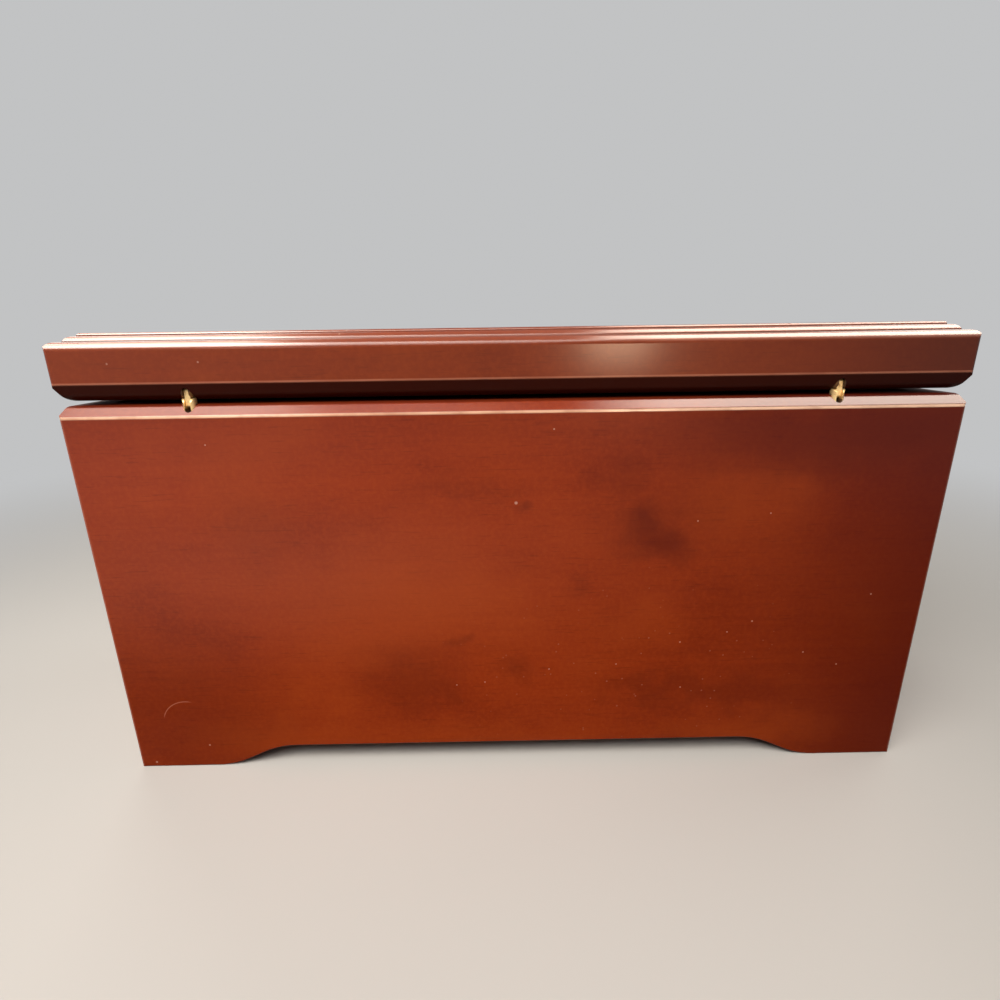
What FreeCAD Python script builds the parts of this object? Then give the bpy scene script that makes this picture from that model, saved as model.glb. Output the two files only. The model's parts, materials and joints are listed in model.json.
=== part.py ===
import FreeCAD, Part
import math
import os

from FreeCAD import Vector

# A small lift-lid wooden chest, in millimetres. The rear face, with the hinges, looks along -Y,
# X runs along the hinge line and the chest stands on z = 0, centred on the origin.

# Outside of the chest
LENGTH = 345.0              # along the hinge line
DEPTH = 124.0               # rear face to front face
CORNER_RADIUS = 2.0         # softened upright edges

# Body walls: four boards mitred at the corners
WALL = 14.0                 # board thickness, the same in the lid's rails
BODY_HEIGHT = 164.2
CHAMFER_IN = 2.9            # bevel round the top edge, measured across
CHAMFER_DOWN = 4.1          # and down
CHAMFER_FOOT_RADIUS = 1.7   # softening of the bevel's lower edge
CHAMFER_HEAD_RADIUS = 2.2   # and of its upper edge
INNER_ARRIS = 0.4           # softening of the edges inside, in body and lid
LOWER_ARRIS = 0.7           # and of the outer edge along feet and arch

# Bracket feet, left by an arch in the lower edge of each wall
ARCH_RISE = 10.0
ARCH_SWEEP = 21.5           # run of the curve from foot to arch
ARCH_RADIUS = 34.0          # of both bends of the curve
LONG_FOOT = 43.0            # flat of the foot on the rear and front
END_ARCH_LEVEL = 25.0       # level part of the arch on the two ends

# Floor board, held in a groove
FLOOR_LIFT = 13.0
FLOOR_THICKNESS = 5.0
GROOVE_DEPTH = 5.0
GROOVE_END_GAP = 0.3        # room for the board to move with the weather

# Glue blocks behind the feet
BLOCK_LEG = 10.0
BLOCK_LIFT = 1.5            # above the ground

# Lining: covered cards on the walls and a pad on the floor
CARD = 2.0
CARD_DROP = 4.0             # below the top of the walls
PAD_THICKNESS = 4.0
PAD_GAP = 0.3               # round the pad, and between the cards

# Lid: four moulded rails and a top board
SEAM = 1.6                  # gap between body and lid
RAIL_HEIGHT = 21.7
UNDERCUT_HEIGHT = 6.4       # of the bevel under the rail's outer face
UNDERCUT_SPLAY = 3.2        # how far its flat part would lean in
UNDERCUT_RADIUS = 4.8       # bend into the underside
RAIL_ARRIS = 0.5            # softening of the edge above the undercut
RIM_RADIUS = 3.4            # round-over of the rail's upper edge
TOP_SETBACK = 4.8           # rail's outer face to the top board's edge
STEP_RISE = 2.0             # first step of the top board's edge
STEP_WIDTH = 3.4
STEP_RADIUS = 2.9
STEP_SPLAY = 0.73           # lean of its riser
CREST_RISE = 1.1            # second step, up to the flat top
CREST_RADIUS = 1.0
CREST_SPLAY = 0.2
PLUG_DEPTH = 5.0            # the top board's lower half, let in between the rails
LID_PAD = 2.0

# Barrel hinges: two half barrels, two pins and a link, let into body and lid
HINGE_FROM_END = 49.0       # end of the chest to a hinge
HINGE_INSET = 3.4           # rear face to the barrels' axis
HINGE_PROUD = 2.4           # meeting plane of the half barrels above the body
BARREL_RADIUS = 2.5
BARREL_LENGTH = 11.0
BARREL_FIT = 0.03           # glue line round a barrel
MOUTH_FIT = 0.35            # round the lower barrel, where it reaches up into the lid
PIN_OFFSET = 2.5            # from the meeting plane to each pin
MEETING_GAP = 0.3           # between the half barrels
PIN_RADIUS = 0.6
PIN_RECESS = 0.1            # pin end below the barrel's surface
PIN_FIT = 0.05              # pin in the link
LINK_THICKNESS = 2.1
LINK_END_RADIUS = 1.1
SLOT_FIT = 0.1              # each side of the link
SLOT_RUNOUT = 3.0           # slot floor beyond the pin

# Front buffers, which carry the closed lid
BUFFER_RADIUS = 4.0
BUFFER_INSET = 8.2          # from both outer faces to the buffer's centre
BUFFER_EDGE = 0.4
BUFFER_GAP = 0.2            # to the lid

# Derived heights
FLOOR_TOP = FLOOR_LIFT + FLOOR_THICKNESS
LID_BOTTOM = BODY_HEIGHT + SEAM
RAIL_TOP = LID_BOTTOM + RAIL_HEIGHT
STEP_TOP = RAIL_TOP + STEP_RISE
LID_TOP = STEP_TOP + CREST_RISE
MEETING_HEIGHT = BODY_HEIGHT + HINGE_PROUD
HINGE_Y = HINGE_INSET - DEPTH / 2

END_FOOT = DEPTH / 2 - END_ARCH_LEVEL / 2 - ARCH_SWEEP
SIDES = ("rear", "right", "front", "left")
SPANS = dict(zip(SIDES, (LENGTH, DEPTH, LENGTH, DEPTH)))
FEET = dict(zip(SIDES, (LONG_FOOT, END_FOOT, LONG_FOOT, END_FOOT)))
ENDS = ("left", "right")
UP = Vector(0, 0, 1)
ORIGIN = Vector(0, 0, 0)


def plan(u, v):
    """A point of a level outline."""
    return Vector(u, v, 0)


def section(u, v):
    """A point of an upright outline that looks along X."""
    return Vector(0, u, v)


def elevation(u, v):
    """A point of an upright outline that looks along Y."""
    return Vector(u, 0, v)


def corner_arc(before, corner, after, radius):
    """First, middle and last point of the arc that is tangent to both sides of a corner."""
    inward = (before - corner).normalize()
    onward = (after - corner).normalize()
    half_angle = inward.getAngle(onward) / 2
    reach = radius / math.tan(half_angle)
    bisector = (inward + onward).normalize()
    middle = corner + bisector * (radius / math.sin(half_angle) - radius)
    return corner + inward * reach, middle, corner + onward * reach


def outline(corners, place):
    """Closed face through the corners (u, v) or (u, v, radius), each radius a tangent arc."""
    points = [Vector(corner[0], corner[1], 0) for corner in corners]
    spans = []
    for index, corner in enumerate(corners):
        point = points[index]
        following = points[(index + 1) % len(points)]
        if len(corner) == 3:
            spans.append(corner_arc(points[index - 1], point, following, corner[2]))
        else:
            spans.append((point, point, point))
    edges = []
    for index, (first, middle, last) in enumerate(spans):
        here = [place(point.x, point.y) for point in (first, middle, last)]
        if here[0].distanceToPoint(here[2]) > 1e-6:
            edges.append(Part.Arc(*here).toShape())
        following = spans[(index + 1) % len(spans)][0]
        there = place(following.x, following.y)
        if here[2].distanceToPoint(there) > 1e-6:
            edges.append(Part.LineSegment(here[2], there).toShape())
    return Part.Face(Part.Wire(Part.__sortEdges__(edges)))


def prism(corners, place, start, end):
    """Solid of an outline carried from one place to another along a straight line."""
    face = outline(corners, place)
    face.translate(start)
    return face.extrude(end - start)


def along_x(corners, length):
    return prism(corners, section, Vector(-length / 2, 0, 0), Vector(length / 2, 0, 0))


def along_y(corners, start, end):
    return prism(corners, elevation, Vector(0, start, 0), Vector(0, end, 0))


def along_z(corners, start, end):
    return prism(corners, plan, Vector(0, 0, start), Vector(0, 0, end))


def toward(end):
    """Direction of an end of the chest along X."""
    return -1 if end == "left" else 1


def centred_box(length, depth, bottom, top):
    return Part.makeBox(length, depth, top - bottom, Vector(-length / 2, -depth / 2, bottom))


def softened_block(bottom, top):
    """The chest's plan with its four upright edges softened."""
    x, y = LENGTH / 2, DEPTH / 2
    corners = [(-x, -y), (x, -y), (x, y), (-x, y)]
    return along_z([corner + (CORNER_RADIUS,) for corner in corners], bottom, top)


def mitred(shape, span, bottom, top):
    """A board's two ends cut at 45 degrees."""
    half = span / 2
    corners = [(-half, 0), (half, 0), (half - WALL, WALL), (WALL - half, WALL)]
    return shape.common(along_z(corners, bottom, top))


def on_side(shape, side):
    """Move a board, made with its outer face on y = 0, to one side of the chest."""
    distance = DEPTH / 2 if SPANS[side] == LENGTH else LENGTH / 2
    placed = shape.copy()
    placed.translate(Vector(0, -distance, 0))
    placed.rotate(ORIGIN, UP, 90 * SIDES.index(side))
    return placed


def soften_lower_edge(board):
    """Round the outer edge of a board, made with its outer face on y = 0, along feet and arch."""
    lower = [
        edge for edge in board.Edges
        if abs(edge.BoundBox.YMin) < 1e-6 and abs(edge.BoundBox.YMax) < 1e-6
        and edge.BoundBox.ZMax < ARCH_RISE + 1e-6
    ]
    return board.makeFillet(LOWER_ARRIS, lower)


def wall(side):
    """One body wall: bevelled top edge, groove for the floor, arch between two feet."""
    span = SPANS[side]
    bevel_foot = BODY_HEIGHT - CHAMFER_DOWN
    groove = WALL - GROOVE_DEPTH
    board = along_x([
        (0, 0),
        (WALL, 0),
        (WALL, FLOOR_LIFT),
        (groove, FLOOR_LIFT),
        (groove, FLOOR_TOP),
        (WALL, FLOOR_TOP),
        (WALL, BODY_HEIGHT, INNER_ARRIS),
        (CHAMFER_IN, BODY_HEIGHT, CHAMFER_HEAD_RADIUS),
        (0, bevel_foot, CHAMFER_FOOT_RADIUS),
    ], span)
    foot = span / 2 - FEET[side]
    arch = foot - ARCH_SWEEP
    front_view = along_y([
        (-span / 2, 0),
        (-foot, 0, ARCH_RADIUS),
        (-arch, ARCH_RISE, ARCH_RADIUS),
        (arch, ARCH_RISE, ARCH_RADIUS),
        (foot, 0, ARCH_RADIUS),
        (span / 2, 0),
        (span / 2, BODY_HEIGHT),
        (-span / 2, BODY_HEIGHT),
    ], 0, WALL)
    board = soften_lower_edge(board.common(front_view))
    board = mitred(board, span, 0, BODY_HEIGHT)
    placed = on_side(board, side).common(softened_block(0, BODY_HEIGHT))
    return placed.cut(hinge_bores()) if side == "rear" else placed


def floor_board():
    spread = 2 * (GROOVE_DEPTH - GROOVE_END_GAP - WALL)
    return centred_box(LENGTH + spread, DEPTH + spread, FLOOR_LIFT, FLOOR_TOP)


def glue_block(end, y_side):
    """Three-cornered block in the angle behind a foot."""
    x_side = toward(end)
    x = x_side * (LENGTH / 2 - WALL)
    y = y_side * (DEPTH / 2 - WALL)
    corners = [(x, y), (x - x_side * BLOCK_LEG, y), (x, y - y_side * BLOCK_LEG)]
    return along_z(corners, BLOCK_LIFT, FLOOR_LIFT)


def lining_card(side):
    """Covered card on a wall; the end cards stand between the two long ones."""
    inset = WALL if SPANS[side] == LENGTH else WALL + CARD + PAD_GAP
    length = SPANS[side] - 2 * inset
    card = centred_box(length, CARD, FLOOR_TOP, BODY_HEIGHT - CARD_DROP)
    card.translate(Vector(0, WALL + CARD / 2, 0))
    return on_side(card, side)


def floor_pad():
    margin = 2 * (WALL + CARD + PAD_GAP)
    return centred_box(LENGTH - margin, DEPTH - margin, FLOOR_TOP, FLOOR_TOP + PAD_THICKNESS)


def buffer(end):
    """Round buffer on a front corner of the body."""
    height = SEAM - BUFFER_GAP
    x = toward(end) * (LENGTH / 2 - BUFFER_INSET)
    disc = Part.makeCylinder(BUFFER_RADIUS, height)
    rim = [edge for edge in disc.Edges if edge.CenterOfMass.z > height / 2 and edge.isClosed()]
    disc = disc.makeFillet(BUFFER_EDGE, rim)
    disc.translate(Vector(x, DEPTH / 2 - BUFFER_INSET, BODY_HEIGHT))
    return disc


def lid_rail(side):
    """One rail of the lid: undercut below, beaded rim above, mitred ends."""
    span = SPANS[side]
    rail = along_x([
        (0, LID_BOTTOM + UNDERCUT_HEIGHT, RAIL_ARRIS),
        (UNDERCUT_SPLAY, LID_BOTTOM, UNDERCUT_RADIUS),
        (WALL, LID_BOTTOM, INNER_ARRIS),
        (WALL, RAIL_TOP),
        (0, RAIL_TOP, RIM_RADIUS),
    ], span)
    rail = mitred(rail, span, LID_BOTTOM, RAIL_TOP)
    placed = on_side(rail, side).common(softened_block(LID_BOTTOM, RAIL_TOP))
    return placed.cut(hinge_bores()) if side == "rear" else placed


def top_section(width):
    """Outline of the top board across one of its two widths: stepped edges and a plug."""
    edge = width / 2 - TOP_SETBACK
    crest = edge - STEP_WIDTH
    plug = width / 2 - WALL
    right_half = [
        (plug, RAIL_TOP - PLUG_DEPTH),
        (plug, RAIL_TOP),
        (edge, RAIL_TOP),
        (edge - STEP_SPLAY, STEP_TOP, STEP_RADIUS),
        (crest, STEP_TOP),
        (crest - CREST_SPLAY, LID_TOP, CREST_RADIUS),
    ]
    left_half = [(-corner[0],) + corner[1:] for corner in reversed(right_half)]
    return right_half + left_half


def top_board():
    """The moulding runs round all four edges, mitred where two of them meet."""
    across = along_x(top_section(DEPTH), LENGTH)
    lengthwise = along_y(top_section(LENGTH), -DEPTH / 2, DEPTH / 2)
    return across.common(lengthwise)


def lid_pad():
    margin = 2 * (WALL + PAD_GAP)
    top = RAIL_TOP - PLUG_DEPTH
    return centred_box(LENGTH - margin, DEPTH - margin, top - LID_PAD, top)


def hinge_x(end):
    return toward(end) * (LENGTH / 2 - HINGE_FROM_END)


def hinge_bores():
    """Both drillings for the half barrels, each running through the seam, wider at the lid's mouth."""
    reach = BARREL_LENGTH + MEETING_GAP / 2
    mouth_top = MEETING_HEIGHT + MEETING_GAP / 2
    bores = []
    for end in ENDS:
        foot = Vector(hinge_x(end), HINGE_Y, MEETING_HEIGHT - reach)
        mouth = Vector(hinge_x(end), HINGE_Y, BODY_HEIGHT)
        bores.append(Part.makeCylinder(BARREL_RADIUS + BARREL_FIT, 2 * reach, foot))
        bores.append(Part.makeCylinder(BARREL_RADIUS + MOUTH_FIT, mouth_top - BODY_HEIGHT, mouth))
    return Part.makeCompound(bores)


def half_barrel(end, direction):
    """Half barrel, slotted for the link; its rear rim is round about the pin, so it can open."""
    reach = PIN_OFFSET - MEETING_GAP / 2
    body = Part.makeCylinder(BARREL_RADIUS, BARREL_LENGTH, Vector(0, 0, reach), -UP)
    below = reach - BARREL_LENGTH
    ears = along_x([
        (BARREL_RADIUS, below),
        (BARREL_RADIUS, reach),
        (-reach, reach, reach),
        (-reach, 0),
        (-BARREL_RADIUS, 0),
        (-BARREL_RADIUS, below),
    ], 2 * BARREL_RADIUS)
    slot_width = LINK_THICKNESS + 2 * SLOT_FIT
    slot = centred_box(slot_width, 2 * BARREL_RADIUS, -SLOT_RUNOUT, reach)
    pin_hole = pin_along_x(PIN_RADIUS, 2 * BARREL_RADIUS)
    barrel = body.common(ears).cut(slot).cut(pin_hole)
    if direction > 0:
        barrel = barrel.mirror(ORIGIN, UP)
    barrel.translate(Vector(hinge_x(end), HINGE_Y, pin_height(direction)))
    return barrel


def pin_height(direction):
    return MEETING_HEIGHT + direction * PIN_OFFSET


def pin_along_x(radius, length):
    return Part.makeCylinder(radius, length, Vector(-length / 2, 0, 0), Vector(1, 0, 0))


def hinge_pin(end, direction):
    """Short pin across a half barrel, its ends just under the barrel's round surface."""
    half_chord = math.sqrt(BARREL_RADIUS ** 2 - PIN_RADIUS ** 2)
    pin = pin_along_x(PIN_RADIUS, 2 * (half_chord - PIN_RECESS))
    pin.translate(Vector(hinge_x(end), HINGE_Y, pin_height(direction)))
    return pin


def hinge_link(end):
    """Flat link with two eyes, one on each pin."""
    tip = PIN_OFFSET + LINK_END_RADIUS
    width = LINK_END_RADIUS
    link = along_x([
        (-width, -tip, width),
        (width, -tip, width),
        (width, tip, width),
        (-width, tip, width),
    ], LINK_THICKNESS)
    for direction in (-1, 1):
        eye = pin_along_x(PIN_RADIUS + PIN_FIT, LINK_THICKNESS)
        eye.translate(Vector(0, 0, direction * PIN_OFFSET))
        link = link.cut(eye)
    link.translate(Vector(hinge_x(end), HINGE_Y, MEETING_HEIGHT))
    return link


def all_pieces():
    """Every piece of the chest by its name."""
    pieces = {"floor_board": floor_board(), "floor_pad": floor_pad()}
    for side in SIDES:
        pieces[side + "_wall"] = wall(side)
        pieces[side + "_lining_card"] = lining_card(side)
        pieces["lid_" + side + "_rail"] = lid_rail(side)
    for end in ENDS:
        pieces["rear_" + end + "_glue_block"] = glue_block(end, -1)
        pieces["front_" + end + "_glue_block"] = glue_block(end, 1)
        pieces[end + "_buffer"] = buffer(end)
        pieces[end + "_lower_barrel"] = half_barrel(end, -1)
        pieces[end + "_lower_pin"] = hinge_pin(end, -1)
        pieces[end + "_hinge_link"] = hinge_link(end)
        pieces[end + "_upper_barrel"] = half_barrel(end, 1)
        pieces[end + "_upper_pin"] = hinge_pin(end, 1)
    pieces["lid_top_board"] = top_board()
    pieces["lid_pad"] = lid_pad()
    return pieces


def as_solid(shape):
    """The single solid that a boolean operation leaves."""
    solids = shape.Solids
    assert len(solids) == 1 and solids[0].isValid()
    return solids[0]


os.makedirs("parts", exist_ok=True)
for name, shape in all_pieces().items():
    as_solid(shape.removeSplitter()).exportStep("parts/" + name + ".step")
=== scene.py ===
"""A lacquered wooden chest seen from behind: its finishes, its cloth lining, and the studio round it.

Everything is in metres, in the chest's own frame: +Z up, X along the hinge line, the hinged face towards -Y.
"""

import json
import math

import bmesh
import bpy
from mathutils import Matrix, Vector, noise


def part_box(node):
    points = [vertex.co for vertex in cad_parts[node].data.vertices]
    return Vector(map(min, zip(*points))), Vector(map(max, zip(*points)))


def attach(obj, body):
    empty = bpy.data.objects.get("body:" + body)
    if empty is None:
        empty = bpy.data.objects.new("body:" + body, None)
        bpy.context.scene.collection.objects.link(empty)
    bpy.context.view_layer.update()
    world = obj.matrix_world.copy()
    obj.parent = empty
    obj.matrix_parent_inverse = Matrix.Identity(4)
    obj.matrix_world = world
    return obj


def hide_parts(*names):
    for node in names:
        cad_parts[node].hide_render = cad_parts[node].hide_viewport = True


MM = 0.001
ROOM_COLOUR = (0.98, 0.99, 1.0, 1.0)
ROOM_LOOK = 0.55     # how bright the room looks
ROOM_LIGHT = 0.12    # what it lights with
BLACK = (0.0, 0.0, 0.0, 1.0)
LAMP_COLOUR = (1.0, 0.94, 0.86)
SKY_COLOUR = (1.0, 0.88, 0.75)
WARM_LAMP = (1.0, 0.70, 0.45)

# The camera, from the straight edges of the photograph.
IMAGE_PX = 1000
FOCAL_PX = 555.8
SENSOR_MM = 36.0
CAMERA_PLACE = (-7.6 * MM, -272.9 * MM, 188.7 * MM)
CAMERA_PITCH = 16.77
CAMERA_ROLL = -0.82
CAMERA_YAW = -0.39

# Heights at rest, in mm: the arch, the bevel's foot and top, the slots of the hinges below their links, the lid's
# underside, its arris above the undercut, its rim and its flat top, each from where it starts to where it is full.
ARCH_EDGE = 10.2
BEVEL_FOOT = 159.8
BEVEL_TOP = (163.2, 163.8)
SLOT_PAINTED_SHADE = (163.0, 162.5)
LID_UNDERSIDE = (166.4, 165.9)
LID_ARRIS = 172.4
LID_RIM = 185.4
LID_FLAT = (190.4, 190.58)
LID_GROOVES = ((187.6, 0.45), (189.6, 0.35))    # and their half widths
# From the middle, in mm: the ends of the arch, a hinge, and half the width of its slot.
ARCH_ENDS = (108.0, 92.0)
HINGE_X = 123.5
SLOT_HALF_WIDTH = (1.19, 1.16)
# The outer band of the lid, in mm across the depth and along the length, and where |x| + |y| meets a wall's corner.
LID_BAND_Y = (50.0, 52.0)
LID_BAND_X = (160.5, 162.5)
WALL_CORNER = (232.7, 233.25)

# Marks on the hinged face, in mm: across, up, half width, half height, and then how strong.
FACE = -62.0
DARK_CLOUDS = (
    (53.8, 118.5, 10.0, 9.0, 0.22),
    (54.0, 111.0, 17.0, 13.5, 0.24),
    (58.0, 118.0, 36.0, 22.0, 0.20),
    (62.5, 103.5, 13.0, 11.0, 0.29),
    (39.0, 135.0, 17.0, 12.0, 0.22),
    (-22.0, 129.0, 34.0, 8.0, 0.16),
    (2.5, 119.5, 5.0, 4.5, 0.35),
    (-46.7, 43.4, 32.0, 23.0, 0.32),
    (-25.5, 62.0, 6.0, 5.0, 0.30),
    (-25.0, 35.0, 9.0, 7.0, 0.16),
    (-1.0, 47.5, 11.0, 10.0, 0.26),
    (61.0, 37.6, 34.0, 11.0, 0.30),
    (99.0, 35.0, 26.0, 11.0, 0.22),
    (24.6, 87.0, 7.0, 8.0, 0.18),
    (110.0, 149.0, 80.0, 22.0, 0.40),
    (-103.0, 112.0, 18.0, 20.0, 0.14),
    # This large cloud at the lower left is painted soft shadow.
    (-150.0, 26.0, 66.0, 60.0, 0.34),
)
PALE_CLOUDS = (
    (-109.4, 135.0, 26.0, 32.0, 0.30),
    (-69.6, 56.4, 32.0, 13.0, 0.16),
    (-13.0, 81.5, 26.0, 16.0, 0.16),
    (-50.0, 82.0, 70.0, 38.0, 0.36),
    (50.6, 68.5, 32.0, 16.0, 0.24),
    (93.4, 123.5, 34.0, 20.0, 0.20),
    # These three clouds along the bottom are a painted glow of light bounced up from the floor.
    (98.0, 14.0, 52.0, 13.0, 0.34),
    (-20.0, 12.0, 80.0, 14.0, 0.24),
    (-112.0, 14.0, 46.0, 13.0, 0.38),
)
# Specks of dust, in mm: across, up and radius.
SPECKS = (
    (0.2, 123.8, 0.95),
    (14.9, 153.1, 0.5),
    (73.4, 115.0, 0.5),
    (102.5, 117.8, 0.45),
    (100.6, 69.4, 0.55),
    (90.4, 64.4, 0.45),
    (70.5, 59.9, 0.5),
    (124.6, 53.9, 0.55),
    (140.1, 47.6, 0.5),
    (43.4, 49.6, 0.45),
    (72.4, 37.3, 0.5),
    (-26.3, 40.5, 0.45),
    (-13.9, 41.7, 0.45),
    (14.2, 47.7, 0.45),
    (149.4, 81.2, 0.55),
    (-165.0, 2.5, 0.7),
    (-139.4, 11.3, 0.6),
    (-118.7, 149.0, 0.45),
)
# The cloud of finer dust, in mm: across, up, half width and half height.
FINE_DUST = (52.0, 42.0, 95.0, 62.0)
# Hairs, each an arc of a circle, in mm: its centre, radius, middle and reach from that middle.
HAIRS = (
    ((-146.7, 23.5), 10.9, (-152.2, 33.0), 9.0),
)
HAIR_WIDTH = 0.28


def srgb(red, green, blue):
    """A colour picked on a screen, 0 to 255, as the linear colour that a shader takes."""
    shares = [level / 255.0 for level in (red, green, blue)]
    linear = [s / 12.92 if s <= 0.04045 else ((s + 0.055) / 1.055) ** 2.4 for s in shares]
    return (*linear, 1.0)


class Value:
    """A number that changes over a surface. Arithmetic on it adds Math nodes to its finish."""

    def __init__(self, finish, socket):
        self.finish = finish
        self.socket = socket

    def _math(self, operation, first, second):
        return self.finish.add("ShaderNodeMath", {"operation": operation}, {0: first, 1: second})

    def __add__(self, other):
        return self._math("ADD", self, other)

    def __radd__(self, other):
        return self._math("ADD", other, self)

    def __sub__(self, other):
        return self._math("SUBTRACT", self, other)

    def __rsub__(self, other):
        return self._math("SUBTRACT", other, self)

    def __mul__(self, other):
        return self._math("MULTIPLY", self, other)

    def __rmul__(self, other):
        return self._math("MULTIPLY", other, self)


class Shading:
    """The nodes of a material or of the world."""

    def __init__(self, owner):
        owner.use_nodes = True
        self.nodes = owner.node_tree.nodes
        self.links = owner.node_tree.links

    def add(self, kind, settings=None, sockets=None, out=0):
        """Adds a node: its settings first, then the number, colour or link of each socket."""
        node = self.nodes.new(kind)
        for setting, value in (settings or {}).items():
            setattr(node, setting, value)
        for socket, value in (sockets or {}).items():
            self.feed(node.inputs[socket], value)
        return Value(self, node.outputs[out])

    def feed(self, socket, value):
        if isinstance(value, Value):
            self.links.new(value.socket, socket)
        else:
            socket.default_value = value

    def larger(self, first, second):
        return self.add("ShaderNodeMath", {"operation": "MAXIMUM"}, {0: first, 1: second})

    def size(self, value):
        """A value without its sign."""
        return self.add("ShaderNodeMath", {"operation": "ABSOLUTE"}, {0: value})

    def looked_at(self):
        """1 where the camera, gloss or glass looks, and 0 for light that only bounces."""
        kinds = ("Camera", "Glossy", "Transmission")
        rays = [self.add("ShaderNodeLightPath", out="Is %s Ray" % kind) for kind in kinds]
        return self.larger(self.larger(rays[0], rays[1]), rays[2])


class Finish(Shading):
    """A material while it is made: its nodes, its shader, and the places on the surface."""

    def __init__(self, name, fixed):
        self.material = bpy.data.materials.new(name)
        super().__init__(self.material)
        self.shader = self.nodes["Principled BSDF"]
        for socket, value in fixed.items():
            self.shader.inputs[socket].default_value = value
        self.place = self.add("ShaderNodeTexCoord", out="Object")

    def set(self, socket, value):
        self.feed(self.shader.inputs[socket], value)

    def stretched(self, scale, shift=(0.0, 0.0, 0.0), where=None):
        """The places on the surface, scaled and then shifted."""
        sockets = {0: where or self.place, 1: scale, 2: shift}
        return self.add("ShaderNodeVectorMath", {"operation": "MULTIPLY_ADD"}, sockets)

    def frayed(self, per_metre, reach):
        """The places on the surface, each moved by up to about half of reach, to break up a smooth outline."""
        sockets = {"Vector": self.place, "Scale": per_metre, "Detail": 4.0}
        wander = self.add("ShaderNodeTexNoise", None, sockets, "Color")
        centred = self.stretched((reach,) * 3, (-0.5 * reach,) * 3, wander)
        return self.add("ShaderNodeVectorMath", {"operation": "ADD"}, {0: self.place, 1: centred})

    def axis(self, letter):
        return self.add("ShaderNodeSeparateXYZ", None, {0: self.place}, out=letter)

    def noise(self, where, per_metre, detail=3.0, roughness=0.5, distortion=0.0):
        sockets = {"Vector": where, "Scale": per_metre, "Detail": detail}
        sockets.update({"Roughness": roughness, "Distortion": distortion})
        return self.add("ShaderNodeTexNoise", None, sockets)

    def step(self, value, low, high):
        """0 where value is under low, 1 where it is over high, and smooth between. It falls if high is less."""
        sockets = {"Value": value, "From Min": low, "From Max": high}
        return self.add("ShaderNodeMapRange", {"interpolation_type": "SMOOTHSTEP"}, sockets)

    def line(self, value, middle, half_width):
        """A thin line where value is near middle."""
        return self.step(self.size(value - middle * MM), half_width * MM, 0.3 * half_width * MM)

    def step_mm(self, value, reach):
        """A step between the two ends of reach, in mm."""
        return self.step(value, reach[0] * MM, reach[1] * MM)

    def blend(self, share, first, second):
        """Second over first, by share."""
        return self.add("ShaderNodeMix", {"data_type": "RGBA"}, {0: share, 6: first, 7: second}, out=2)

    def bump(self, height, depth):
        """Turns height, from 0 to 1, into dents of that depth in metres."""
        sockets = {"Height": height, "Distance": depth, "Strength": 1.0}
        self.set("Normal", self.add("ShaderNodeBump", None, sockets))


# ---------------------------------------------------------------- finishes

CHERRY = srgb(151, 53, 17)
CHERRY_DEEP = srgb(112, 28, 9)
CHERRY_WARM = srgb(174, 72, 24)
CHERRY_CLOUD = srgb(76, 16, 8)
# Painted shade: the dark of the seam, the undercut, the grooves and the hinge slots, laid into the colour.
HOLLOW_PAINTED_SHADE = srgb(58, 16, 8)
CHERRY_LID = srgb(78, 50, 32)
# Painted shade for the right end of the hinged side.
RIGHT_END_PAINTED_SHADE = srgb(84, 14, 3)
# Pale wear on the corners and the hair, and also painted highlights on the arch, the lid's rim and its arris.
PALE_WEAR_AND_HIGHLIGHT = srgb(206, 134, 104)
# A painted highlight for the arris at the bevel's foot.
ARRIS_PAINTED_HIGHLIGHT = srgb(255, 204, 168)
DUST = srgb(222, 178, 152)


def grain_scale(along, squeeze):
    """A scale that draws a pattern out along one axis of the frame."""
    return tuple(squeeze if axis == along else 1.0 for axis in "XYZ")


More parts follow.
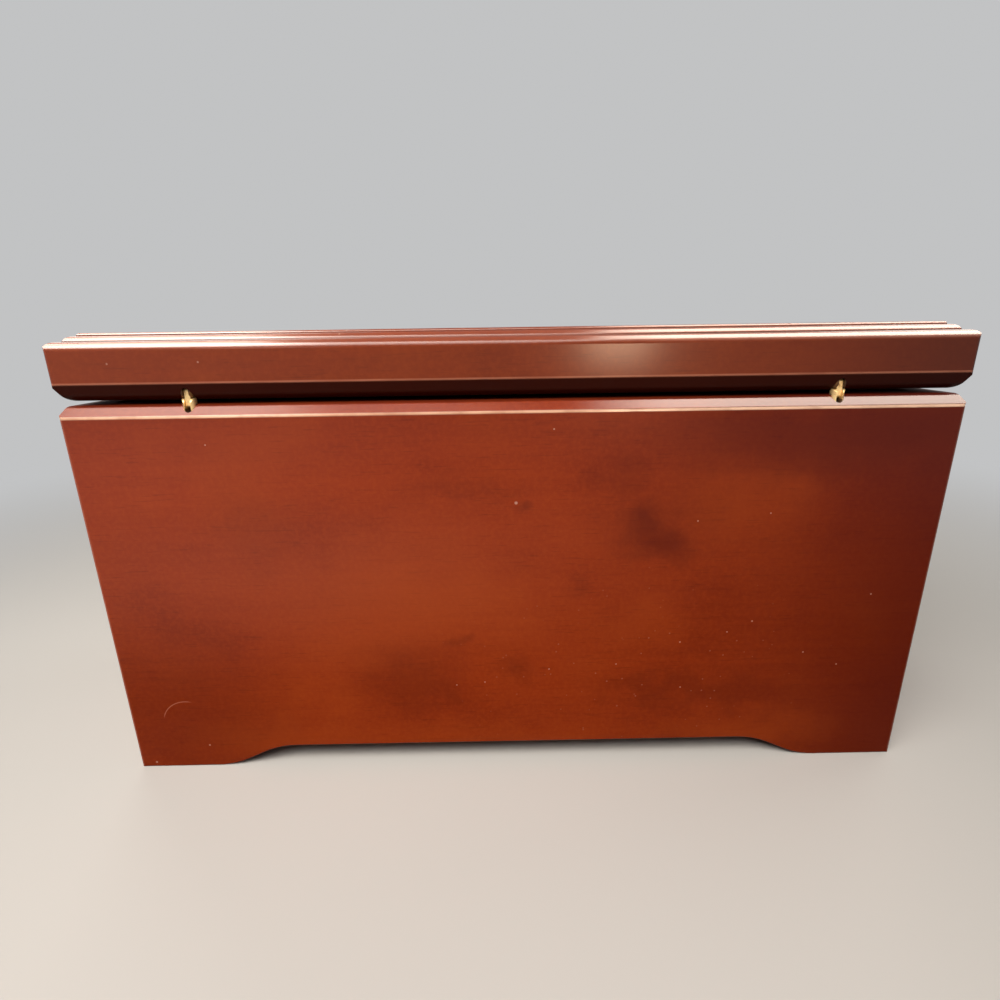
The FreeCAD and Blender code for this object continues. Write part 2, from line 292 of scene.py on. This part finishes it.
def lacquer(board, along, seed):
    """Cherry-stained wood under gloss lacquer, its grain along one axis, from its own place in the log."""
    body = board.endswith("_wall")
    gloss = {"Specular IOR Level": 0.05, "Coat Roughness": 0.16, "Coat IOR": 2.0}
    finish = Finish(board + "_lacquer", gloss)
    shift = (0.37 * seed, 0.91 * seed, 0.53 * seed)
    where = finish.stretched((1.0, 1.0, 1.0), shift)
    drawn_out = finish.stretched(grain_scale(along, 0.06), shift)

    clouds = finish.noise(where, 19.0, detail=4.0, roughness=0.55)
    figure = finish.noise(drawn_out, 260.0, detail=5.0, roughness=0.6, distortion=0.3)
    pores = finish.step(finish.noise(drawn_out, 1700.0, detail=2.0), 0.60, 0.72)
    mottle = finish.noise(where, 520.0, detail=3.0, roughness=0.6)
    peel = finish.noise(where, 900.0, detail=1.5, roughness=0.45)

    colour = finish.blend(finish.step(clouds, 0.50, 0.28) * 0.40, CHERRY, CHERRY_DEEP)
    colour = finish.blend(finish.step(clouds, 0.50, 0.78) * 0.40, colour, CHERRY_WARM)
    colour = finish.blend(finish.step(figure, 0.30, 0.72) * 0.20, colour, CHERRY_DEEP)
    colour = finish.blend(finish.step(mottle, 0.38, 0.70) * 0.26, colour, CHERRY_WARM)
    colour = finish.blend(pores * 0.24, colour, CHERRY_CLOUD)
    # Both boards of the hinged side darken towards their right end: painted shade where the light falls off.
    if "rear" in board:
        across = finish.axis("X")
        painted_shade = finish.step_mm(across, (0.0, 180.0)) * 0.45 + finish.step_mm(across, (90.0, 175.0)) * 0.3
        colour = finish.blend(painted_shade, colour, RIGHT_END_PAINTED_SHADE)
    if board == "rear_wall":
        colour = marks_of_use(finish, colour)
    else:
        specks = finish.add("ShaderNodeTexVoronoi", None, {"Vector": where, "Scale": 85.0}, out="Distance")
        colour = finish.blend(finish.step(specks, 0.045, 0.02) * 0.6, colour, DUST)

    if body:
        colour, polish, unpolished = wall_edges(finish, colour)
    else:
        colour, polish, unpolished = lid_edges(finish, colour)

    finish.set("Base Color", colour)
    finish.set("Roughness", 0.15 + clouds * 0.10 + mottle * 0.06 + unpolished * 0.35)
    finish.set("Coat Weight", polish)
    finish.bump(peel * 0.75 + mottle * 0.2 - pores * 0.12, 0.000022 if body else 0.000004)
    return finish.material


def near_ends(finish):
    """0 along the middle of the hinged side, where the light of the photograph is dull, and 1 near its ends."""
    return finish.step_mm(finish.size(finish.axis("X") + 22.0 * MM), (35.0, 85.0))


def wall_edges(finish, colour):
    """A wall's corners rubbed pale, its painted highlights, and how far each place is polished and left unpolished.

    The bevel is polished by hands, most of all to the right. The face is polished at its upper left, and a little at
    its upper right. The wall's top, inside the bevel, has painted shade and is unpolished.
    """
    across, up = finish.axis("X"), finish.axis("Z")
    patchy = 0.65 + finish.step(finish.noise(finish.place, 90.0, detail=3.0), 0.30, 0.62) * 0.35
    ends = near_ends(finish)
    rightward = finish.step_mm(across, (-60.0, 80.0))

    corner = finish.step_mm(finish.size(across) + finish.size(finish.axis("Y")), WALL_CORNER)
    colour = finish.blend(corner * patchy * 0.35, colour, PALE_WEAR_AND_HIGHLIGHT)
    # A pale line along the arch's edge: a painted highlight on its rounded arris.
    arch = finish.line(up, ARCH_EDGE, 0.45) * finish.step_mm(finish.size(across), ARCH_ENDS)
    colour = finish.blend(arch * patchy * 0.4, colour, PALE_WEAR_AND_HIGHLIGHT)
    # A near-white line at the bevel's foot, stronger near the ends: a painted highlight on the arris.
    foot = finish.line(up, BEVEL_FOOT, 0.75) * patchy
    colour = finish.blend(foot * (0.72 + ends * 0.25), colour, ARRIS_PAINTED_HIGHLIGHT)
    # The wall's top inside the bevel: painted shade of the seam under the lid.
    top = finish.step_mm(up, BEVEL_TOP)
    colour = finish.blend(top * 0.65, colour, HOLLOW_PAINTED_SHADE)

    bevel = finish.step_mm(up, (BEVEL_FOOT - 0.7, BEVEL_FOOT + 0.3))
    upper_left = finish.step_mm(across, (100.0, -150.0)) * finish.step_mm(up, (30.0, 120.0))
    upper_right = finish.step_mm(up, (50.0, 155.0)) * rightward
    face = (upper_left * 0.28 + upper_right * 0.10) * (1.0 - bevel)
    bevel = bevel * (0.035 + ends * (0.125 + rightward * 0.54)) + foot * (0.08 + ends * 0.6)
    return colour, finish.larger(bevel, face) * (1.0 - top), top


def lid_edges(finish, colour):
    """The edges of a board of the lid, and how far each place is polished and left unpolished.

    The mouldings are polished towards the lid's ends, and carry painted highlights there. The undercut and the
    grooves carry painted shade.
    """
    across, up = finish.axis("X"), finish.axis("Z")
    patchy = 0.70 + finish.step(finish.noise(finish.place, 70.0, detail=2.0), 0.30, 0.62) * 0.30
    ends = near_ends(finish)
    outer = finish.step_mm(finish.size(finish.axis("Y")), LID_BAND_Y)
    outer = finish.larger(outer, finish.step_mm(finish.size(across), LID_BAND_X))
    hollow = finish.step_mm(up, (LID_ARRIS, LID_ARRIS - 0.8)) * outer
    rim = finish.step_mm(up, (LID_RIM - 1.0, LID_RIM + 0.6))
    flat = finish.step_mm(up, LID_FLAT)
    groove = 0.0
    for height, half_width in LID_GROOVES:
        groove = groove + finish.line(up, height, half_width)
    colour = finish.blend(0.38, colour, CHERRY_LID)
    # Painted shade in the undercut, which faces down.
    colour = finish.blend(hollow * 0.9, colour, HOLLOW_PAINTED_SHADE)
    # Painted highlights on the rim, strongest near the ends where the light is bright.
    colour = finish.blend((rim - flat) * (0.15 + ends * 0.85) * patchy * 0.5, colour, PALE_WEAR_AND_HIGHLIGHT)
    # Painted shadow lines in the grooves, darker near the ends.
    colour = finish.blend(groove * (0.25 + ends * 0.5), colour, HOLLOW_PAINTED_SHADE)
    # A pale line on the arris above the undercut: a painted highlight.
    colour = finish.blend(finish.line(up, LID_ARRIS, 0.6) * patchy * 0.45, colour, PALE_WEAR_AND_HIGHLIGHT)
    polish = (rim - flat) * (0.3 + ends * 0.7) * (1.0 - groove * 0.7)
    plain = 0.13 + finish.step_mm(across, (0.0, -170.0)) * 0.11
    return colour, finish.larger(polish, (1.0 - hollow) * plain), finish.step_mm(up, LID_UNDERSIDE)


def marks_of_use(finish, colour):
    """The hinged face's stain clouds, painted glow along its bottom, painted shadow at its lower left, dust and
    hair.
    """
    frayed = finish.frayed(75.0, 0.024)

    def distance(x, z):
        sockets = {0: finish.place, 1: (x * MM, FACE * MM, z * MM)}
        return finish.add("ShaderNodeVectorMath", {"operation": "DISTANCE"}, sockets, out="Value")

    def cloud(x, z, half_width, half_height):
        scale = (1.0 / (half_width * MM), 0.0, 1.0 / (half_height * MM))
        offset = finish.stretched(scale, (-x / half_width, 0.0, -z / half_height), frayed)
        reach = finish.add("ShaderNodeVectorMath", {"operation": "LENGTH"}, {0: offset}, out="Value")
        return finish.step(reach, 1.15, 0.15)

    dark = finish.step_mm(finish.axis("Z"), (128.0, 162.0)) * 0.22
    for *spot, depth in DARK_CLOUDS:
        dark = dark + cloud(*spot) * depth
    pale = 0.0
    for *spot, depth in PALE_CLOUDS:
        pale = pale + cloud(*spot) * depth
    colour = finish.blend(pale, colour, CHERRY_WARM)
    colour = finish.blend(dark, colour, CHERRY_CLOUD)

    dust = 0.0
    for x, z, radius in SPECKS:
        dust = dust + finish.step_mm(distance(x, z), (0.85 * radius, 0.4 * radius))
    fine = finish.add("ShaderNodeTexVoronoi", None, {"Vector": finish.place, "Scale": 210.0}, out="Distance")
    dust = dust + finish.step(fine, 0.10, 0.04) * cloud(*FINE_DUST) * 0.32
    colour = finish.blend(dust * 0.6, colour, DUST)

    hairs = 0.0
    for centre, radius, middle, reach in HAIRS:
        there = finish.step_mm(distance(*middle), (reach, 0.7 * reach))
        hairs = hairs + finish.line(distance(*centre), radius, HAIR_WIDTH) * there
    return finish.blend(hairs * 0.5, colour, PALE_WEAR_AND_HIGHLIGHT)


def bare_birch():
    """Unfinished plywood and blocks under the chest: pale, dry, with a faint straight grain."""
    finish = Finish("bare_birch", {"Roughness": 0.72, "Specular IOR Level": 0.3})
    drawn_out = finish.stretched(grain_scale("X", 0.05))
    lines = finish.noise(drawn_out, 420.0, detail=5.0, roughness=0.65)
    flecks = finish.step(finish.noise(drawn_out, 1500.0, detail=2.0), 0.6, 0.75)
    blush = finish.noise(finish.place, 25.0, detail=3.0)
    colour = finish.blend(finish.step(lines, 0.3, 0.7), srgb(205, 175, 134), srgb(182, 146, 102))
    colour = finish.blend(finish.step(blush, 0.35, 0.7) * 0.4, colour, srgb(168, 126, 88))
    colour = finish.blend(flecks * 0.35, colour, srgb(120, 84, 54))
    finish.set("Base Color", colour)
    finish.bump(lines * 0.7 - flecks * 0.3, 0.00008)
    return finish.material


def aged_brass(name, bare, stained, cover):
    """Turned brass: bare, with tarnish over a share of it, cover, and painted shade at the bottom of the slots."""
    finish = Finish(name, {"Specular IOR Level": 0.5})
    tarnish = finish.noise(finish.place, 420.0, detail=5.0, roughness=0.62)
    rings = finish.noise(finish.stretched((0.08, 0.08, 1.0)), 5200.0, detail=1.0)
    covered = finish.step(tarnish, 0.68 - 0.36 * cover, 0.86 - 0.36 * cover)
    # Painted shade where the brass lies down in the slots of the body.
    deep = finish.step_mm(finish.size(finish.size(finish.axis("X")) - HINGE_X * MM), SLOT_HALF_WIDTH)
    deep = deep * finish.step_mm(finish.axis("Z"), SLOT_PAINTED_SHADE)
    colour = finish.blend(covered * 0.8, bare, stained)
    finish.set("Base Color", finish.blend(deep * 0.9, colour, HOLLOW_PAINTED_SHADE))
    finish.set("Metallic", 0.65 - covered * 0.2 - deep * 0.45)
    finish.set("Roughness", 0.36 + covered * 0.22 + rings * 0.08)
    finish.bump(rings * 0.5 + tarnish * 0.5, 0.00001)
    return finish.material


def pin_steel():
    """Small steel pins, cut off and tumbled: grey, satin, with a trace of brown."""
    finish = Finish("pin_steel", {"Metallic": 1.0})
    wear = finish.noise(finish.place, 1300.0, detail=4.0)
    stained = finish.step(wear, 0.55, 0.75)
    finish.set("Base Color", finish.blend(stained, srgb(196, 193, 187), srgb(124, 104, 84)))
    finish.set("Roughness", 0.30 + stained * 0.25)
    finish.bump(wear, 0.000008)
    return finish.material


def buffer_rubber():
    """Soft dark rubber with a dusty bloom."""
    finish = Finish("buffer_rubber", {"Specular IOR Level": 0.35})
    bloom = finish.noise(finish.place, 700.0, detail=4.0)
    dusty = finish.step(bloom, 0.4, 0.75) * 0.5
    finish.set("Base Color", finish.blend(dusty, srgb(42, 40, 39), srgb(86, 82, 78)))
    finish.set("Roughness", 0.62 + bloom * 0.2)
    finish.bump(bloom, 0.00003)
    return finish.material


def lining_felt():
    """Charcoal wool felt: tangled fibres, a light nap, and brushed and pressed patches."""
    finish = Finish("lining_felt", {"Specular IOR Level": 0.2, "Sheen Weight": 0.45, "Sheen Roughness": 0.5})
    height = finish.noise(finish.stretched((1.0, 0.12, 0.5)), 2600.0, detail=3.0)
    for scale in ((0.12, 1.0, 0.5), (0.6, 0.6, 0.14), (0.3, 0.9, 1.0)):
        height = height + finish.noise(finish.stretched(scale, scale), 2600.0, detail=3.0)
    height = height * 0.25
    nap = finish.noise(finish.place, 34.0, detail=4.0, roughness=0.6)
    colour = finish.blend(finish.step(height, 0.40, 0.60), srgb(30, 28, 29), srgb(66, 62, 62))
    colour = finish.blend(finish.step(nap, 0.35, 0.70) * 0.35, colour, srgb(78, 73, 72))
    finish.set("Base Color", colour)
    finish.set("Roughness", 0.90 - nap * 0.08)
    finish.bump(height, 0.0002)
    return finish.material


def studio_paper():
    """Plain pale paper for the floor. Far off it fades into the room."""
    finish = Finish("studio_paper", {"Specular IOR Level": 0.0, "Emission Strength": ROOM_LOOK})
    seen = finish.looked_at()
    tone = finish.noise(finish.place, 3.0, detail=2.0)
    paper = finish.blend(tone, srgb(196, 194, 191), srgb(202, 200, 197))
    paper = finish.blend(seen, srgb(112, 110, 108), paper)
    reach = finish.add("ShaderNodeVectorMath", {"operation": "LENGTH"}, {0: finish.place}, out="Value")
    far = finish.step(reach, 0.25, 0.85)
    finish.set("Base Color", finish.blend(far, paper, BLACK))
    finish.set("Emission Color", finish.blend(far * seen, BLACK, ROOM_COLOUR))
    return finish.material


# ---------------------------------------------------------------- dressing the CAD pieces

ALONG_X = ("rear_wall", "front_wall", "lid_rear_rail", "lid_front_rail", "lid_top_board")
ALONG_Y = ("left_wall", "right_wall", "lid_left_rail", "lid_right_rail")


def dress(node, material):
    for slot in frame["nodes"][node].material_slots:
        slot.material = material


def dress_cad_pieces():
    for seed, board in enumerate(ALONG_X + ALONG_Y):
        dress(board, lacquer(board, "X" if board in ALONG_X else "Y", seed + 1))
    plain = {
        "bare_wood": bare_birch(),
        "hinge_brass": aged_brass("aged_brass", srgb(255, 220, 156), srgb(150, 98, 52), 0.45),
        "pin_steel": pin_steel(),
        "buffer_rubber": buffer_rubber(),
    }
    for part in frame["record"]["subparts"]:
        if part["material_slot"] in plain:
            dress(part["node"], plain[part["material_slot"]])
    # The upper barrels sit in the shade under the lid: their brass is painted dark brown for it.
    shaded_brass = aged_brass("painted_shade_brass", srgb(120, 80, 38), srgb(58, 34, 20), 0.9)
    for side in ("left", "right"):
        dress(side + "_upper_barrel", shaded_brass)


# ---------------------------------------------------------------- the lining

# Blender seeds its noise from the clock unless it is given a number.
COVER_SEED = 1


def rounded_slab(name, low, high, radius, pitch):
    """A closed box of quads with round edges, filling the space from low to high."""
    half = (high - low) / 2.0
    steps = [max(3, round(2.0 * h / pitch)) for h in half]
    form = bmesh.new()
    placed = {}

    def corner(cell):
        if cell not in placed:
            share = Vector([2.0 * c / s - 1.0 for c, s in zip(cell, steps)])
            point = Vector([a * h for a, h in zip(share, half)])
            core = Vector([max(-h + radius, min(h - radius, p)) for p, h in zip(point, half)])
            out = point - core
            if out.length > 0.0:
                point = core + out.normalized() * radius
            placed[cell] = form.verts.new(point + (low + high) / 2.0)
        return placed[cell]

    for axis in range(3):
        u, v = (axis + 1) % 3, (axis + 2) % 3
        for end in (0, steps[axis]):
            for i in range(steps[u]):
                for j in range(steps[v]):
                    ring = []
                    for di, dj in ((0, 0), (1, 0), (1, 1), (0, 1)):
                        cell = [0, 0, 0]
                        cell[axis], cell[u], cell[v] = end, i + di, j + dj
                        ring.append(corner(tuple(cell)))
                    form.faces.new(ring if end else reversed(ring))
    mesh = bpy.data.meshes.new(name)
    form.to_mesh(mesh)
    form.free()
    mesh.shade_smooth()
    piece = bpy.data.objects.new(name, mesh)
    bpy.context.scene.collection.objects.link(piece)
    return piece


def finish_pad(piece, node, body):
    piece.data.materials.append(FELT)
    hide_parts(node)
    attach(piece, body)


def covered_card(side):
    """A stiff card wrapped in felt, glued to the inside of one wall, its cover a little uneven."""
    node = side + "_lining_card"
    low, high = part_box(node)
    slack = Vector((0.15, 0.15, 0.15)) * MM
    piece = rounded_slab(side + "_lining", low + slack, high - slack, 0.8 * MM, 2.0 * MM)
    noise.seed_set(COVER_SEED)
    for vertex in piece.data.vertices:
        vertex.co += 0.14 * MM * noise.noise_vector(vertex.co * 60.0)
    finish_pad(piece, node, "chest")


def stuffed_pad(name, node, body, rise, cap):
    """A thin pad of felt over wadding. It is glued on at its back, and rise is 1 if it faces up and -1 if down.

    The cloth swells over the wadding, and no point ends further than cap from where it starts.
    """
    low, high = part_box(node)
    side = Vector((1.0, 1.0, 0.0)) * 0.6 * cap
    low, high = low + side, high - side
    if rise > 0:
        high.z -= cap
    else:
        low.z += cap
    piece = rounded_slab(name, low, high, 0.45 * (high.z - low.z), 3.0 * MM)
    swell(piece, low.z if rise > 0 else high.z, cap)
    piece.modifiers.new("fine", "SUBSURF").levels = 1
    finish_pad(piece, node, body)


def swell(piece, back, cap):
    """Blows the cover of a pad up with Blender's cloth, keeps its back where it is, and limits every move."""
    starts = [vertex.co.copy() for vertex in piece.data.vertices]
    glued = piece.vertex_groups.new(name="glued")
    glued.add([i for i, start in enumerate(starts) if abs(start.z - back) < 0.6 * MM], 1.0, "REPLACE")
    cover = piece.modifiers.new("cover", "CLOTH")
    cover.settings.use_pressure = True
    cover.settings.uniform_pressure_force = 4.0
    cover.settings.effector_weights.gravity = 0.0
    cover.settings.shrink_min = -0.02
    cover.settings.vertex_group_mass = glued.name
    cover.collision_settings.use_collision = False
    scene = bpy.context.scene
    for step in range(1, 21):
        scene.frame_set(step)
    swollen = piece.evaluated_get(bpy.context.evaluated_depsgraph_get()).to_mesh()
    moves = [after.co - start for after, start in zip(swollen.vertices, starts)]
    piece.modifiers.remove(cover)
    piece.vertex_groups.clear()
    scene.frame_set(1)
    for vertex, start, move in zip(piece.data.vertices, starts, moves):
        vertex.co = start + move * cap / (cap + move.length)


# ---------------------------------------------------------------- the studio

FLOOR_SIZE = 12.0


def studio_floor():
    form = bmesh.new()
    bmesh.ops.create_grid(form, x_segments=24, y_segments=24, size=FLOOR_SIZE / 2.0)
    mesh = bpy.data.meshes.new("studio_floor")
    form.to_mesh(mesh)
    form.free()
    floor = bpy.data.objects.new("studio_floor", mesh)
    floor.data.materials.append(studio_paper())
    bpy.context.scene.collection.objects.link(floor)


def softbox(name, place, aim, size, watts, colour=LAMP_COLOUR, spread=180.0, gloss_only=False):
    """A rectangular lamp. One that is there for gloss only shows in the lacquer, and doesn't light it."""
    lamp = bpy.data.lights.new(name, "AREA")
    lamp.shape = "RECTANGLE"
    lamp.size, lamp.size_y = size
    lamp.energy = watts
    lamp.color = colour
    lamp.spread = math.radians(spread)
    holder = bpy.data.objects.new(name, lamp)
    holder.location = place
    holder.rotation_euler = (Vector(aim) - Vector(place)).to_track_quat("-Z", "Y").to_euler()
    holder.visible_camera = False
    holder.visible_diffuse = not gloss_only
    bpy.context.scene.collection.objects.link(holder)


def room_light():
    """A pale room that looks brighter, also in gloss and glass, than what it lights with."""
    world = bpy.data.worlds.new("studio")
    room = Shading(world)
    background = room.nodes["Background"]
    background.inputs["Color"].default_value = ROOM_COLOUR
    strength = ROOM_LIGHT + room.looked_at() * (ROOM_LOOK - ROOM_LIGHT)
    room.feed(background.inputs["Strength"], strength)
    bpy.context.scene.world = world


def photo_camera():
    lens = bpy.data.cameras.new("camera")
    lens.sensor_width = SENSOR_MM
    lens.lens = SENSOR_MM * FOCAL_PX / IMAGE_PX
    lens.clip_start = 0.01
    camera = bpy.data.objects.new("camera", lens)
    yaw = Matrix.Rotation(math.radians(CAMERA_YAW), 4, "Z")
    pitch = Matrix.Rotation(math.radians(90.0 - CAMERA_PITCH), 4, "X")
    roll = Matrix.Rotation(math.radians(CAMERA_ROLL), 4, "Z")
    camera.matrix_world = Matrix.Translation(CAMERA_PLACE) @ yaw @ pitch @ roll
    bpy.context.scene.collection.objects.link(camera)
    bpy.context.scene.camera = camera


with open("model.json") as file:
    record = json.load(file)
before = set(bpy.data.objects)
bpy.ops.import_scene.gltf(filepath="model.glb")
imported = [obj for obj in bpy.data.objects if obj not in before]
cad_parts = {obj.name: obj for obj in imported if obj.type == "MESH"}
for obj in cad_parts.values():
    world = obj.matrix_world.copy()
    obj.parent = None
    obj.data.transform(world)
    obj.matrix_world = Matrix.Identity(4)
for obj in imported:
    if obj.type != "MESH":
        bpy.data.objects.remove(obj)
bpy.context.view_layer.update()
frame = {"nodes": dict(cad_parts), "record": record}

FELT = lining_felt()
dress_cad_pieces()
for side in ("rear", "front", "left", "right"):
    covered_card(side)
stuffed_pad("floor_cushion", "floor_pad", "chest", 1, 1.2 * MM)
stuffed_pad("lid_cushion", "lid_pad", "lid", -1, 0.6 * MM)

studio_floor()
room_light()
softbox("key", (-0.24, -0.46, 0.69), (-0.07, -0.06, 0.06), (0.80, 0.40), 3.05, spread=95.0)
for name, across, width, watts in (("overhead_left", -0.75, 0.72, 8.0), ("overhead_right", 0.63, 0.92, 15.0)):
    softbox(name, (across, -0.15, 0.95), (across, -0.15, 0.16), (width, 0.70), watts, SKY_COLOUR, gloss_only=True)
seam = (0.0, -0.06, 0.18)
softbox("window_left", (-0.93, -2.0, 0.85), seam, (0.40, 0.45), 2.2, SKY_COLOUR, gloss_only=True)
softbox("window_right", (0.455, -2.0, 0.26), seam, (0.22, 0.34), 7.4, WARM_LAMP, gloss_only=True)
middle = (0.0, 0.0, 0.10)
softbox("front_left", (-0.60, 0.75, 0.70), middle, (0.60, 0.60), 3.0)
softbox("front_right", (0.75, 0.35, 0.60), middle, (0.50, 0.50), 1.8)
photo_camera()

bpy.context.scene.view_settings.view_transform = "Standard"
